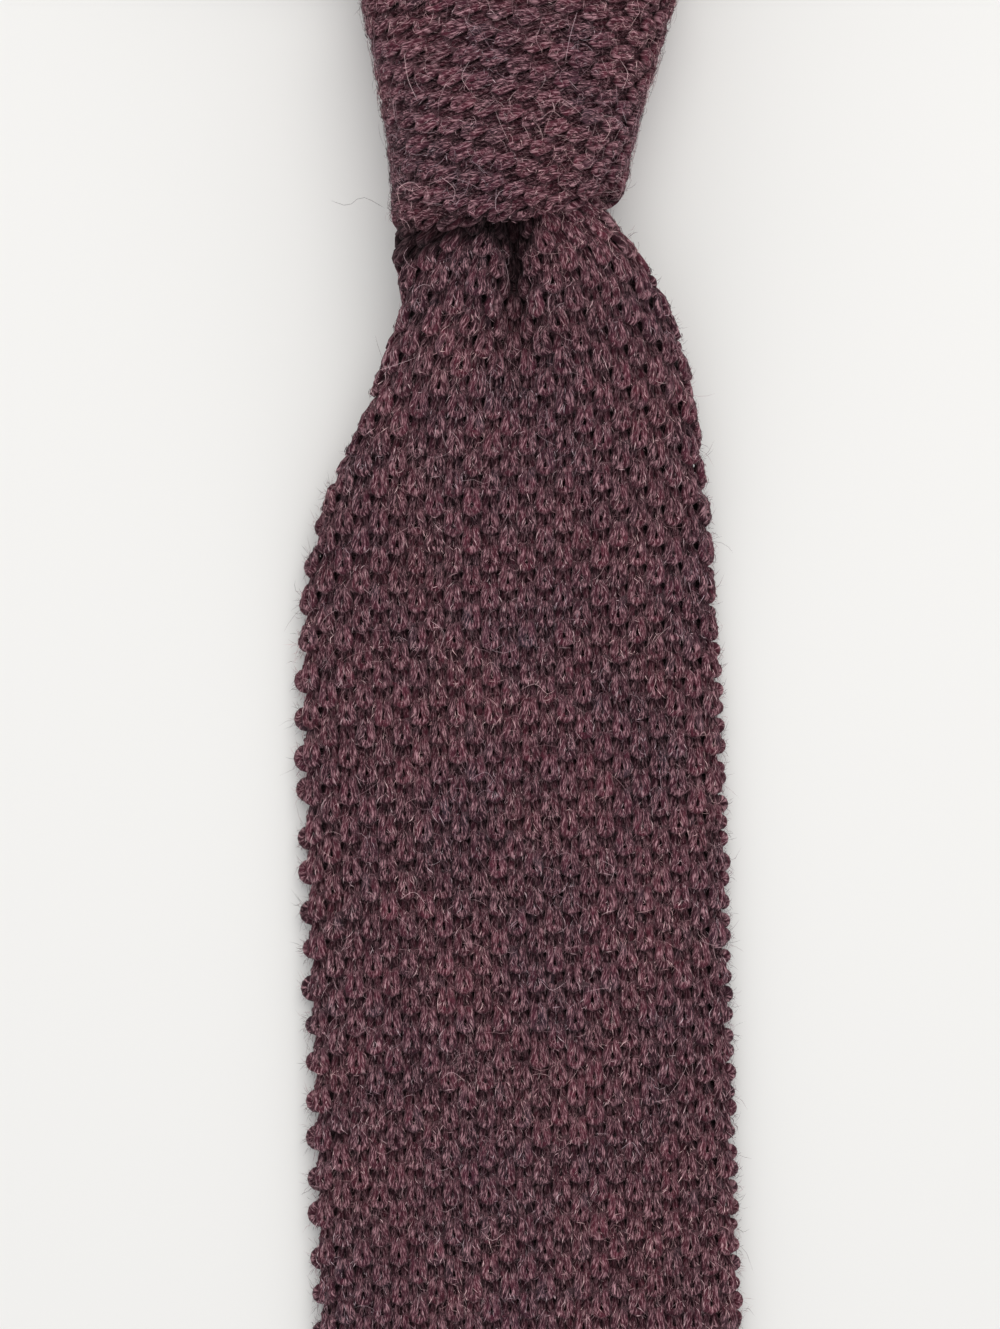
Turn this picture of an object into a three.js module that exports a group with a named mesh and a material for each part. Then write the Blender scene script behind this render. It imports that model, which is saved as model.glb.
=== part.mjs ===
// A knitted wool necktie, tied in a four-in-hand knot and laid face up on a table.
// It is one thick moss-stitch strip with no lining: a broad front blade, a narrower tail under it, and the band
// that goes round the neck.
// Millimetres. X runs across the tie, Y from the square end up to the neck loop, Z up from the table.
import * as THREE from "three";

// Driving dimensions, in millimetres
const fabric = 2.8; // thickness of the knitted strip
const seat = 0.35; // clearance between two layers that lie on each other
const bladeWidth = 60;
const bladeLength = 450; // from the knot's foot to the square end
const tailWidth = 45;
const tailLength = 350; // from the knot's foot to the tail's square end
const neckWidth = 34;
const neckLength = 400; // round the loop, from the knot back to the knot
const loopWidth = 124; // across the oval that the neck band lies in
const shoulderLength = 60; // over which the blade spreads from the knot to its full width
const knotFootWidth = 33.5;
const knotTopWidth = 46;
const knotHeight = 46;
const settleLength = 24; // over which a strip comes down from what it lies on to the table
const flatPitch = 26; // between the sections of a strip that lies flat
const bandPitch = 8; // between the sections of the neck band

// Sizes that follow
const foldRadius = 0.68 * fabric; // of the middle of the cloth, where an edge is turned under
const foldDepth = 2 * foldRadius + fabric; // of a turned edge, from face to face
const backLayer = 0.5 * fabric;
const turnFloor = 1.5 * fabric + seat;
const tailInKnot = 2 * fabric + 2 * seat + foldDepth - 0.5 * fabric;
const turnRoof = tailInKnot + fabric + seat;
const passLayer = turnRoof + fabric + 3 * seat;
const frontLayer = passLayer + fabric + 1.5 * seat;

const radians = Math.PI / 180;
const clamp01 = (x) => Math.min(1, Math.max(0, x));
const smooth = (x) => clamp01(x) ** 2 * (3 - 2 * clamp01(x));
const mix = (a, b, share) => a + (b - a) * share;

// The left and right outline of the knot, as shares of its width there, from its foot (0) to its top (1).
// width 0 is the foot's width and 1 the top's, and left is the part of it that lies left of the tie's axis.
const knotRows = [
  { at: -0.1, width: 0.0, left: 0.46, bulge: 0.0 },
  { at: 0.12, width: 0.0, left: 0.445, bulge: 0.35 },
  { at: 0.34, width: 0.22, left: 0.43, bulge: 0.9 },
  { at: 0.56, width: 0.6, left: 0.415, bulge: 1.0 },
  { at: 0.78, width: 0.95, left: 0.41, bulge: 0.7 },
  { at: 1.02, width: 1.0, left: 0.42, bulge: 0.0 },
];

// The blade's sections below the knot. down is a share of the shoulder length, rise a share of the drop from the
// knot's front to the tail, mid, left, right and reach are shares of the blade's width, pleat and droop are angles
// in degrees: how steeply the cloth climbs out of the dimple, and how far it tips over at its edges. level is the
// share of each half that stays level before it tips over, and cloth the strip's width as a share of the blade's.
const bladeRows = [
  {
    down: -0.3, rise: 1.0, mid: 0.034, left: 0.19, right: 0.19,
    pleat: 0, reach: 0.1, level: 0.42, droop: 30, cloth: 0.31,
  },
  {
    down: -0.08, rise: 1.0, mid: 0.036, left: 0.2, right: 0.196,
    pleat: 16, reach: 0.12, level: 0.4, droop: 32, cloth: 0.38,
  },
  {
    down: 0.0, rise: 0.98, mid: 0.037, left: 0.218, right: 0.24,
    pleat: 72, reach: 0.13, level: 0.32, droop: 42, cloth: 0.72,
  },
  {
    down: 0.06, rise: 0.95, mid: 0.037, left: 0.262, right: 0.29,
    pleat: 80, reach: 0.13, level: 0.3, droop: 44, cloth: 0.92,
  },
  {
    down: 0.16, rise: 0.88, mid: 0.035, left: 0.268, right: 0.35,
    pleat: 70, reach: 0.15, level: 0.3, droop: 42, cloth: 1,
  },
  {
    down: 0.28, rise: 0.76, mid: 0.028, left: 0.308, right: 0.405,
    pleat: 40, reach: 0.17, level: 0.3, droop: 40, cloth: 1,
  },
  {
    down: 0.42, rise: 0.61, mid: 0.02, left: 0.363, right: 0.44,
    pleat: 14, reach: 0.2, level: 0.32, droop: 36, cloth: 1,
  },
  {
    down: 0.58, rise: 0.48, mid: 0.01, left: 0.423, right: 0.468,
    pleat: 4, reach: 0.2, level: 0.38, droop: 34, cloth: 1,
  },
  {
    down: 0.74, rise: 0.29, mid: 0.004, left: 0.472, right: 0.49,
    pleat: 0, reach: 0.2, level: 0.5, droop: 34, cloth: 1,
  },
  {
    down: 0.9, rise: 0.14, mid: 0, left: 0.5, right: 0.5,
    pleat: 0, reach: 0.2, level: 0.62, droop: 35, cloth: 1,
  },
  {
    down: 1.15, rise: 0, mid: 0, left: 0.52, right: 0.52,
    pleat: 0, reach: 0.2, level: 0.72, droop: 36, cloth: 1,
  },
];

// The tail's sections below the knot: down is a share of the shoulder length, rise a share of its drop to the
// table, wide the visible half-width as a share of the tail's width, and cloth the strip's width as such a share.
const tailRows = [
  { down: -0.4, rise: 1.0, wide: 0.16, cloth: 0.57 },
  { down: -0.13, rise: 1.0, wide: 0.16, cloth: 0.57 },
  { down: 0.0, rise: 0.68, wide: 0.17, cloth: 0.58 },
  { down: 0.15, rise: 0.3, wide: 0.31, cloth: 0.66 },
  { down: 0.32, rise: 0.06, wide: 0.42, cloth: 0.76 },
  { down: 0.5, rise: 0.0, wide: 0.46, cloth: 0.83 },
  { down: 0.72, rise: 0.0, wide: 0.5, cloth: 0.93 },
  { down: 1.0, rise: 0.0, wide: 0.53, cloth: 1.0 },
];

// Half of the neck band's route, from inside the knot to the far middle of the loop: up is a share of the loop's
// length and out a share of half its width, counted from the strand's own place in the knot.
const loopRows = [
  { up: 0.0, out: 0.0 },
  { up: 0.06, out: 0.01 },
  { up: 0.11, out: 0.07 },
  { up: 0.17, out: 0.2 },
  { up: 0.3, out: 0.47 },
  { up: 0.47, out: 0.8 },
  { up: 0.66, out: 0.98 },
  { up: 0.84, out: 0.81 },
  { up: 0.955, out: 0.45 },
];

// A column of a table, read between its rows along a smooth curve that never overshoots them.
function read(rows, key, column, at) {
  const last = rows.length - 1;
  const place = THREE.MathUtils.clamp(at, rows[0][key], rows[last][key]);
  let i = 0;
  while (i < last - 1 && place > rows[i + 1][key]) i++;
  const step = (k) => (rows[k + 1][column] - rows[k][column]) / (rows[k + 1][key] - rows[k][key]);
  const slope = (k) => {
    if (k === 0 || k === last) return 0;
    const before = step(k - 1);
    const after = step(k);
    return before * after > 0 ? (2 * before * after) / (before + after) : 0;
  };
  const span = rows[i + 1][key] - rows[i][key];
  const t = (place - rows[i][key]) / span;
  const start = rows[i][column];
  const end = rows[i + 1][column];
  const bend = (1 - t) * slope(i) * span - t * slope(i + 1) * span;
  return mix(start, end, t * t * (3 - 2 * t)) + t * (1 - t) * bend;
}

// Where a section is sampled, from its middle (0) to its edge (1), and how full the cloth's thickness is there.
const bladeStations = [
  { u: 0, full: 1 }, { u: 0.045, full: 1 }, { u: 0.09, full: 1 }, { u: 0.15, full: 1 }, { u: 0.22, full: 1 },
  { u: 0.33, full: 1 }, { u: 0.46, full: 1 }, { u: 0.58, full: 1 }, { u: 0.68, full: 1 }, { u: 0.77, full: 1 },
  { u: 0.86, full: 1 }, { u: 0.95, full: 0.95 }, { u: 1.0, full: 0.4 },
];
const bandStations = [
  { u: 0, full: 1 }, { u: 0.3, full: 1 }, { u: 0.5, full: 1 }, { u: 0.63, full: 1 }, { u: 0.75, full: 1 },
  { u: 0.86, full: 1 }, { u: 0.95, full: 0.9 }, { u: 1.0, full: 0.4 },
];

// Half of a strip's section: the cloth's own length is walked from the middle to the edge. It climbs out of the
// pleat, tips over towards the edge, and where it has reached its width the rest of it turns under.
const pleatFloor = 0.34;

function halfSection({ stations, cloth, width, pleat = 0, reach = 1, level = 1, droop = 0 }) {
  const steps = 200;
  const ds = cloth / steps;
  const straight = Math.max(0, width - 0.5 * fabric - foldRadius * (1 - Math.sin(droop)));
  const walked = [{ x: 0, z: 0, tilt: 0 }];
  let x = 0;
  let z = 0;
  let turned = 0;
  for (let k = 0; k < steps; k++) {
    const q = ((k + 0.5) * ds) / reach;
    if (x >= straight || turned > 0) turned = Math.min(Math.PI, turned + ds / foldRadius);
    const climb = pleat * (q < pleatFloor ? q / pleatFloor : 1 - smooth((q - pleatFloor) / (1 - pleatFloor)));
    const tip = droop * clamp01((x / width - level) / (1 - Math.min(level, 0.99)));
    const tilt = climb - mix(tip, 0, turned / Math.PI) - turned;
    x += Math.cos(tilt) * ds;
    z += Math.sin(tilt) * ds;
    walked.push({ x, z, tilt });
  }
  return stations.map(({ u, full }) => ({ ...walked[Math.round(u * steps)], full }));
}

// A whole section: its left half mirrored, then its right half, each with its middle line, tilt and fullness.
function section(left, right) {
  const mirrored = halfSection(left)
    .slice(1)
    .reverse()
    .map(({ x, z, tilt, full }) => ({ x: -x, z, tilt: -tilt, full }));
  return [...mirrored, ...halfSection(right)];
}

// The closed ring of points round a section, set in space by its origin and its across and up directions.
function ringOf(line, origin, across, up) {
  const at = (x, z) => origin.clone().addScaledVector(across, x).addScaledVector(up, z);
  const face = (side) => line.map(({ x, z, tilt, full }) => {
    const half = side * 0.5 * fabric * full;
    return at(x - Math.sin(tilt) * half, z + Math.cos(tilt) * half);
  });
  return [...face(1), ...face(-1).reverse()];
}

// One closed body from rings of points. In each ring the first half is one face and the second half, in reverse,
// the other, so an end is closed by a ladder between them. Rings that join up need no ends.
function loft(rings, joined = false) {
  const size = rings[0].length;
  const positions = rings.flat().flatMap((p) => [p.x, p.y, p.z]);
  const index = [];
  const quad = (a, b, c, d) => index.push(a, b, c, a, c, d);
  const spans = joined ? rings.length : rings.length - 1;
  for (let i = 0; i < spans; i++) {
    const here = i * size;
    const next = ((i + 1) % rings.length) * size;
    for (let j = 0; j < size; j++) {
      const k = (j + 1) % size;
      quad(here + j, here + k, next + k, next + j);
    }
  }
  if (!joined) {
    const end = (rings.length - 1) * size;
    for (let j = 0; j < size / 2 - 1; j++) {
      const other = size - 1 - j;
      quad(j, other, other - 1, j + 1);
      quad(end + j, end + j + 1, end + other - 1, end + other);
    }
  }
  const geometry = new THREE.BufferGeometry();
  geometry.setAttribute("position", new THREE.Float32BufferAttribute(positions, 3));
  geometry.setIndex(index);
  geometry.computeVertexNormals();
  return geometry;
}

// Moves a ring of points up or down so that its lowest point is at height.
function settle(ring, height) {
  const lowest = Math.min(...ring.map((p) => p.z));
  for (const p of ring) p.z += height - lowest;
  return ring;
}

const evenly = (from, to, pitch) => {
  const count = Math.max(1, Math.ceil(Math.abs(to - from) / pitch));
  return Array.from({ length: count + 1 }, (_, i) => mix(from, to, i / count));
};

// The front blade, from its square end, over the tail, up its shoulders with the dimple in the middle, through
// under the knot's wrap, and over the top of the knot into the neck loop. The shoulder's sections are set by shares
// of the shoulder length, and those over the top by the angle that the cloth has turned through, in degrees.
const plainX = new THREE.Vector3(1, 0, 0);
const plainZ = new THREE.Vector3(0, 0, 1);
const crestRadius = 0.5 * (passLayer - turnFloor);
const crestStart = 0.93 * knotHeight;
const shoulder = { from: 1.08, to: -0.3, pitch: 0.065 };
const pass = { from: 0.55 * knotHeight, pitch: 7, ease: 1.1 };
const crest = { from: 25, to: 155, pitch: 20, narrow: 0.38, narrowBy: 95 };

function frontBlade() {
  const onTail = 1.5 * fabric + seat;
  const stations = bladeStations;
  const rings = [];
  const last = bladeRows.at(-1);
  for (const y of evenly(-bladeLength, -last.down * shoulderLength, flatPitch)) {
    const over = smooth((y + tailLength + settleLength) / settleLength);
    const cloth = 0.5 * bladeWidth;
    const droop = over * last.droop * radians;
    const half = { stations, cloth, width: last.left * bladeWidth, level: last.level, droop };
    const origin = new THREE.Vector3(0, y, mix(0.5 * fabric, onTail, over));
    rings.push(ringOf(section(half, half), origin, plainX, plainZ));
  }
  for (const down of evenly(shoulder.from, shoulder.to, shoulder.pitch)) {
    const row = (column) => read(bladeRows, "down", column, down);
    const half = (side) => ({
      stations,
      cloth: 0.5 * bladeWidth * row("cloth"),
      width: row(side) * bladeWidth,
      pleat: row("pleat") * radians,
      reach: row("reach") * bladeWidth,
      level: row("level"),
      droop: row("droop") * radians,
    });
    const line = section(half("left"), half("right"));
    const crown = Math.max(...line.map((p) => p.z));
    const height = mix(onTail, passLayer, row("rise"));
    const origin = new THREE.Vector3(row("mid") * bladeWidth, -down * shoulderLength, height - crown);
    rings.push(ringOf(line, origin, plainX, plainZ));
  }
  const passWide = bladeRows[0].left * bladeWidth;
  const over = (y, z, turn, narrow) => {
    const cloth = narrow * 0.5 * bladeWidth * bladeRows[0].cloth;
    const droop = narrow * bladeRows[0].droop * radians;
    const half = { stations, cloth, width: pass.ease * passWide, level: bladeRows[0].level, droop };
    const up = new THREE.Vector3(0, Math.sin(turn), Math.cos(turn));
    rings.push(ringOf(section(half, half), new THREE.Vector3(knotMiddle(y), y, z), plainX, up));
  };
  for (const y of evenly(pass.from, crestStart, pass.pitch)) over(y, passLayer, 0, 1);
  for (const turn of evenly(crest.from, crest.to, crest.pitch)) {
    const a = turn * radians;
    const y = crestStart + crestRadius * Math.sin(a);
    const narrow = mix(1, crest.narrow, smooth(turn / crest.narrowBy));
    over(y, passLayer - crestRadius * (1 - Math.cos(a)), a, narrow);
  }
  return loft(rings);
}

// The tail, from its square end, flat on the table under the blade, up into the knot.
const rise = { over: 20, to: 0.52 * knotHeight, pitch: 5 };
const tailAxis = 0.2 * knotHeight; // the height in the knot whose middle the tail and the first turn share

function tail() {
  const rings = [];
  const lying = evenly(-tailLength, -shoulderLength - rise.over, flatPitch);
  const rising = evenly(-shoulderLength, rise.to, rise.pitch);
  for (const y of [...lying, ...rising]) {
    const row = (column) => read(tailRows, "down", column, -y / shoulderLength);
    const cloth = 0.5 * tailWidth * row("cloth");
    const half = { stations: bandStations, cloth, width: row("wide") * tailWidth };
    const height = mix(0.5 * fabric, tailInKnot, row("rise"));
    const axis = knotMiddle(tailAxis) * clamp01(row("rise"));
    const ring = ringOf(section(half, half), new THREE.Vector3(axis, y, height), plainX, plainZ);
    const lowest = Math.min(...ring.map((p) => p.z));
    rings.push(lowest < 0 ? settle(ring, 0) : ring);
  }
  return loft(rings);
}

// The knot's outline at a height above its foot.
function knotSides(y) {
  const at = y / knotHeight;
  const width = mix(knotFootWidth, knotTopWidth, read(knotRows, "at", "width", at));
  const left = -width * read(knotRows, "at", "left", at);
  return { left, right: left + width, bulge: fabric * 0.5 * read(knotRows, "at", "bulge", at) };
}

function knotMiddle(y) {
  const { left, right } = knotSides(y);
  return 0.5 * (left + right);
}

// A ring wall round the knot's axis. at(angle, share) gives a point of the middle of its wall, share running from
// its lower rim to its upper rim.
const rimStations = [
  { s: 0, full: 0.3 }, { s: 0.045, full: 0.9 }, { s: 0.16, full: 1 }, { s: 0.38, full: 1 }, { s: 0.62, full: 1 },
  { s: 0.84, full: 1 }, { s: 0.955, full: 0.9 }, { s: 1, full: 0.3 },
];

function ringWall(at, sides) {
  const tiny = 1e-3;
  const rings = [];
  for (let i = 0; i < sides; i++) {
    const angle = (i / sides) * 2 * Math.PI;
    const face = (side) => rimStations.map(({ s, full }) => {
      const along = at(angle + tiny, s).sub(at(angle - tiny, s));
      const rising = at(angle, s + tiny).sub(at(angle, s - tiny));
      const outward = along.cross(rising).normalize();
      return at(angle, s).addScaledVector(outward, side * 0.5 * fabric * full);
    });
    rings.push([...face(-1), ...face(1).reverse()]);
  }
  return loft(rings, true);
}

const power = (x, exponent) => Math.sign(x) * Math.abs(x) ** exponent;

// The wrap: the turn of the strip that crosses the front of the knot and closes behind it. Its rims run slantwise
// over the front, lower at the left of the foot, and are shares of the knot's height. flank and roof bend the ring
// round the knot from a circle (1) towards a box (0).
const rims = {
  foot: { back: 0.05, left: -0.02, right: 0.09, sag: 0.03 },
  top: { back: 0.78, left: 0.93, right: 0.98 },
  front: { flank: 2 / 2.9, roof: 2 / 2.5 },
  rear: { flank: 2 / 4, roof: 2 / 5 },
};

function knotWrap() {
  const at = (angle, s) => {
    const [c, f] = [Math.cos(angle), Math.sin(angle)];
    const front = smooth(0.5 + 0.5 * f);
    const rightwards = 0.5 + 0.5 * c;
    const frontFoot = mix(rims.foot.left, rims.foot.right, rightwards) - rims.foot.sag * (1 - c * c);
    const foot = knotHeight * mix(rims.foot.back, frontFoot, front);
    const top = knotHeight * mix(rims.top.back, mix(rims.top.left, rims.top.right, rightwards), front);
    const y = mix(foot, top, s);
    const { left, right, bulge } = knotSides(y);
    const half = 0.5 * (right - left) - 0.5 * fabric;
    const { flank, roof } = f > 0 ? rims.front : rims.rear;
    const middle = 0.5 * (backLayer + frontLayer);
    const depth = 0.5 * (frontLayer - backLayer);
    const x = 0.5 * (left + right) + half * power(c, flank);
    const z = middle + (depth + Math.max(0, f) * bulge) * power(f, roof);
    return new THREE.Vector3(x, y, z);
  };
  return ringWall(at, 40);
}

// The first turn of the strip round the tail, inside the knot.
const turnRims = { foot: 0.19, top: 0.5, flank: 2 / 3.2 };

function knotTurn() {
  const middle = 0.5 * (turnFloor + turnRoof);
  const depth = 0.5 * (turnRoof - turnFloor);
  const half = tailRows[0].wide * tailWidth + 2 * seat + 0.5 * fabric;
  const at = (angle, s) => {
    const x = knotMiddle(tailAxis) + half * power(Math.cos(angle), turnRims.flank);
    const z = middle + depth * power(Math.sin(angle), turnRims.flank);
    return new THREE.Vector3(x, knotHeight * mix(turnRims.foot, turnRims.top, s), z);
  };
  return ringWall(at, 20);
}

// The neck band: out of the top of the knot on one side, round an oval on the table, and back in on the other.
// It leaves the knot lying flat with its edges turned under, and soon stands on its edge, leaning outwards.
const strandStart = 0.55 * knotHeight;
const strandHalf = 0.5 * (0.5 * knotTopWidth - 1.25 * fabric) - 6 * seat;
const bandLean = 68 * radians;
const bandSpread = { narrow: 0.8, full: 0.56 }; // the strand's cloth in the knot, and half the band's width outside

// How far from the knot each change of the band begins, and over how long, as shares of the band's width
const bandChanges = {
  lean: { from: 0.4, over: 2 },
  spread: { from: 0.35, over: 1.8 },
  sink: { from: 0.75, over: 1 },
};
const shortestLoop = 0.05;
const halvings = 30;

function loopRoute(loopLength) {
  const foot = knotMiddle(strandStart);
  const half = loopRows.map(({ up, out }) => {
    const fromStrand = (strandHalf + seat) * (1 - smooth(up / 0.6));
    return { x: fromStrand + 0.5 * loopWidth * out, y: strandStart + loopLength * up };
  });
  const right = half.map(({ x, y }) => new THREE.Vector3(foot + x, y, 0));
  const left = half.map(({ x, y }) => new THREE.Vector3(foot - x, y, 0)).reverse();
  const far = new THREE.Vector3(foot, strandStart + loopLength, 0);
  const route = new THREE.CatmullRomCurve3([...right, far, ...left], false, "centripetal");
  route.arcLengthDivisions = 800;
  return route;
}

function neckBand() {
  let [low, high] = [shortestLoop * neckLength, neckLength];
  for (let k = 0; k < halvings; k++) {
    const tried = 0.5 * (low + high);
    if (loopRoute(tried).getLength() < neckLength) low = tried;
    else high = tried;
  }
  const route = loopRoute(0.5 * (low + high));
  const underStrand = fabric + 3 * seat;
  const rings = evenly(0, neckLength, bandPitch).map((travelled) => {
    const share = travelled / neckLength;
    const fromKnot = Math.min(travelled, neckLength - travelled);
    const changed = ({ from, over }) => smooth((fromKnot - from * neckWidth) / (over * neckWidth));
    const along = route.getTangentAt(share);
    const outward = new THREE.Vector3(along.y, -along.x, 0);
    const lean = bandLean * changed(bandChanges.lean);
    const across = outward.clone().multiplyScalar(Math.cos(lean)).addScaledVector(plainZ, Math.sin(lean));
    const up = outward.clone().multiplyScalar(-Math.sin(lean)).addScaledVector(plainZ, Math.cos(lean));
    const spread = changed(bandChanges.spread);
    const half = {
      stations: bandStations,
      cloth: mix(bandSpread.narrow, 1, spread) * 0.5 * neckWidth,
      width: mix(strandHalf, bandSpread.full * neckWidth, spread),
    };
    const ring = ringOf(section(half, half), route.getPointAt(share), across, up);
    return settle(ring, mix(underStrand, 0, changed(bandChanges.sink)));
  });
  return loft(rings);
}

// The finished pieces, each with its own wool
const wool = (colour, roughness) => new THREE.MeshStandardMaterial({
  color: colour,
  roughness,
  metalness: 0,
});

const pieces = [
  { name: "front_blade", geometry: frontBlade(), material: wool(0x4c3439, 0.95) },
  { name: "knot_wrap", geometry: knotWrap(), material: wool(0x51373c, 0.95) },
  { name: "knot_turn", geometry: knotTurn(), material: wool(0x4a3237, 0.96) },
  { name: "neck_band", geometry: neckBand(), material: wool(0x4e353b, 0.95) },
  { name: "tail", geometry: tail(), material: wool(0x483136, 0.96) },
];

const group = new THREE.Group();
for (const { name, geometry, material } of pieces) {
  const mesh = new THREE.Mesh(geometry, material);
  mesh.name = name;
  group.add(mesh);
}

// The origin is under the middle of the whole tie.
const bounds = new THREE.Box3().setFromObject(group, true);
const middle = bounds.getCenter(new THREE.Vector3());
group.position.set(-middle.x, -middle.y, -bounds.min.z);

export default group;
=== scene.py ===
import math

import bpy
import numpy as np
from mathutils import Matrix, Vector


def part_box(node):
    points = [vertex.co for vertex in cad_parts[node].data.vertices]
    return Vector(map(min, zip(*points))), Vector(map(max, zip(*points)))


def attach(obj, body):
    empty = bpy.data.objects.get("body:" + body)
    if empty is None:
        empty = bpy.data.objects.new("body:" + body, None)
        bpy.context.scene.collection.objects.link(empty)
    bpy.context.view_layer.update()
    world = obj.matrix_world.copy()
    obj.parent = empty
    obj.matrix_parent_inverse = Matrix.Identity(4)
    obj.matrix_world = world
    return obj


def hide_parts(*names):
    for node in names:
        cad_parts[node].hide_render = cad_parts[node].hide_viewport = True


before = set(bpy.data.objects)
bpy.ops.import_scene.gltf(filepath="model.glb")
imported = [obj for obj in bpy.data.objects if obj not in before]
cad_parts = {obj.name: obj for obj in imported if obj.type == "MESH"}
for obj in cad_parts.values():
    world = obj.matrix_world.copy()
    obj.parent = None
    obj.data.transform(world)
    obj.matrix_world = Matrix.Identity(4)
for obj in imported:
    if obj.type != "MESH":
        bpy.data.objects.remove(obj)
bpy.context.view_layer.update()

# Sizes in millimetres, as the construction has them
FABRIC = 2.8
SEAT = 0.35
BLADE_WIDTH = 60.0
BLADE_LENGTH = 450.0
TAIL_WIDTH = 45.0
TAIL_LENGTH = 350.0
NECK_WIDTH = 34.0
NECK_LENGTH = 400.0
LOOP_WIDTH = 124.0
SHOULDER = 60.0
KNOT_FOOT = 33.5
KNOT_TOP = 46.0
KNOT_HEIGHT = 46.0
SETTLE = 24.0

FOLD_RADIUS = 0.68 * FABRIC
FOLD_DEPTH = 2 * FOLD_RADIUS + FABRIC
BACK_LAYER = 0.5 * FABRIC
TURN_FLOOR = 1.5 * FABRIC + SEAT
TAIL_IN_KNOT = 2 * FABRIC + 2 * SEAT + FOLD_DEPTH - 0.5 * FABRIC
TURN_ROOF = TAIL_IN_KNOT + FABRIC + SEAT
PASS_LAYER = TURN_ROOF + FABRIC + 3 * SEAT
FRONT_LAYER = PASS_LAYER + FABRIC + 1.5 * SEAT

MM = 0.001
RNG = np.random.default_rng(7)

# Where the construction's own zero, at the knot's foot on the tie's axis, lies in the frame
blade_low, _ = (np.array(c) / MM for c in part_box("front_blade"))
tail_low, tail_high = (np.array(c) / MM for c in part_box("tail"))
ZERO = np.array([0.5 * (tail_low[0] + tail_high[0]), blade_low[1] + BLADE_LENGTH, 0.0])

# The knit: one stitch is a loop of yarn that is wider at its head than at its feet
YARN = 0.7  # radius of the yarn
COURSE = 2.75  # from one row of stitches to the next
LOOP_HEIGHT = 3.3  # from a loop's feet to its head
LOOP_SWELL = 0.17  # how far it narrows and widens, as a share of the wale
RAISED = 0.6  # how far a front stitch stands over the cloth's middle, and a back stitch below it
BACK_HEAD = 1.45  # how far a back stitch's head comes forward again, as a share of that
CORE_DEPTH = -0.6  # the core sheet's height over the cloth's middle
CORE_THICK = 0.5

KNOT_ROWS = {
    "at": [-0.1, 0.12, 0.34, 0.56, 0.78, 1.02],
    "width": [0.0, 0.0, 0.22, 0.6, 0.95, 1.0],
    "left": [0.46, 0.445, 0.43, 0.415, 0.41, 0.42],
    "bulge": [0.0, 0.35, 0.9, 1.0, 0.7, 0.0],
}
BLADE_ROWS = {
    "down": [-0.3, -0.08, 0.0, 0.06, 0.16, 0.28, 0.42, 0.58, 0.74, 0.9, 1.15],
    "rise": [1, 1, 0.98, 0.95, 0.88, 0.76, 0.61, 0.48, 0.29, 0.14, 0],
    "mid": [0.034, 0.036, 0.037, 0.037, 0.035, 0.028, 0.02, 0.01, 0.004, 0, 0],
    "left": [0.19, 0.23, 0.275, 0.283, 0.266, 0.305, 0.352, 0.423, 0.472, 0.5, 0.52],
    "right": [0.19, 0.196, 0.24, 0.29, 0.35, 0.405, 0.44, 0.468, 0.49, 0.5, 0.52],
    "pleat": [0, 16, 72, 80, 70, 40, 14, 4, 0, 0, 0],
    "reach": [0.1, 0.12, 0.13, 0.13, 0.15, 0.17, 0.2, 0.2, 0.2, 0.2, 0.2],
    "level": [0.42, 0.4, 0.32, 0.3, 0.3, 0.3, 0.32, 0.38, 0.5, 0.62, 0.72],
    "droop": [30, 32, 42, 44, 42, 40, 36, 34, 34, 35, 36],
    "cloth": [0.31, 0.38, 0.72, 0.92, 1, 1, 1, 1, 1, 1, 1],
}
TAIL_ROWS = {
    "down": [-0.4, -0.13, 0.0, 0.15, 0.32, 0.5, 0.72, 1.0],
    "rise": [1.0, 1.0, 0.68, 0.3, 0.06, 0.0, 0.0, 0.0],
    "wide": [0.16, 0.16, 0.17, 0.31, 0.42, 0.46, 0.5, 0.53],
    "cloth": [0.57, 0.57, 0.58, 0.66, 0.76, 0.83, 0.93, 1.0],
}
LOOP_ROWS = {
    "up": [0.0, 0.06, 0.11, 0.17, 0.3, 0.47, 0.66, 0.84, 0.955],
    "out": [0.0, 0.01, 0.07, 0.2, 0.47, 0.8, 0.98, 0.81, 0.45],
}


def clamp01(x):
    return np.clip(x, 0.0, 1.0)


def smooth(x):
    x = clamp01(x)
    return x * x * (3 - 2 * x)


def mix(a, b, share):
    return a + (b - a) * share


def unit(v):
    return v / np.maximum(np.linalg.norm(v, axis=-1, keepdims=True), 1e-12)


def read(rows, key, column, at):
    """A column of a table, read along a curve that never overshoots its rows."""
    keys, values = np.array(rows[key], float), np.array(rows[column], float)
    steps = np.diff(values) / np.diff(keys)
    slopes = np.zeros(len(keys))
    before, after = steps[:-1], steps[1:]
    same = before * after > 0
    slopes[1:-1][same] = 2 * before[same] * after[same] / (before[same] + after[same])
    at = np.clip(at, keys[0], keys[-1])
    i = np.clip(np.searchsorted(keys, at, side="right") - 1, 0, len(keys) - 2)
    span = keys[i + 1] - keys[i]
    t = (at - keys[i]) / span
    bend = (1 - t) * slopes[i] * span - t * slopes[i + 1] * span
    return mix(values[i], values[i + 1], t * t * (3 - 2 * t)) + t * (1 - t) * bend


def way_along(points):
    """The distance travelled to each point of a path, or of each of several paths."""
    steps = np.linalg.norm(np.diff(points, axis=-2), axis=-1)
    return np.concatenate([np.zeros((*steps.shape[:-1], 1)), np.cumsum(steps, axis=-1)], axis=-1)


# Sections and strips
WALK, KEPT_STEPS = 200, 4  # steps from a section's middle to its edge, and how many make a point
PLEAT_FLOOR = 0.34  # the share of a pleat's reach over which it grows steeper


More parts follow.
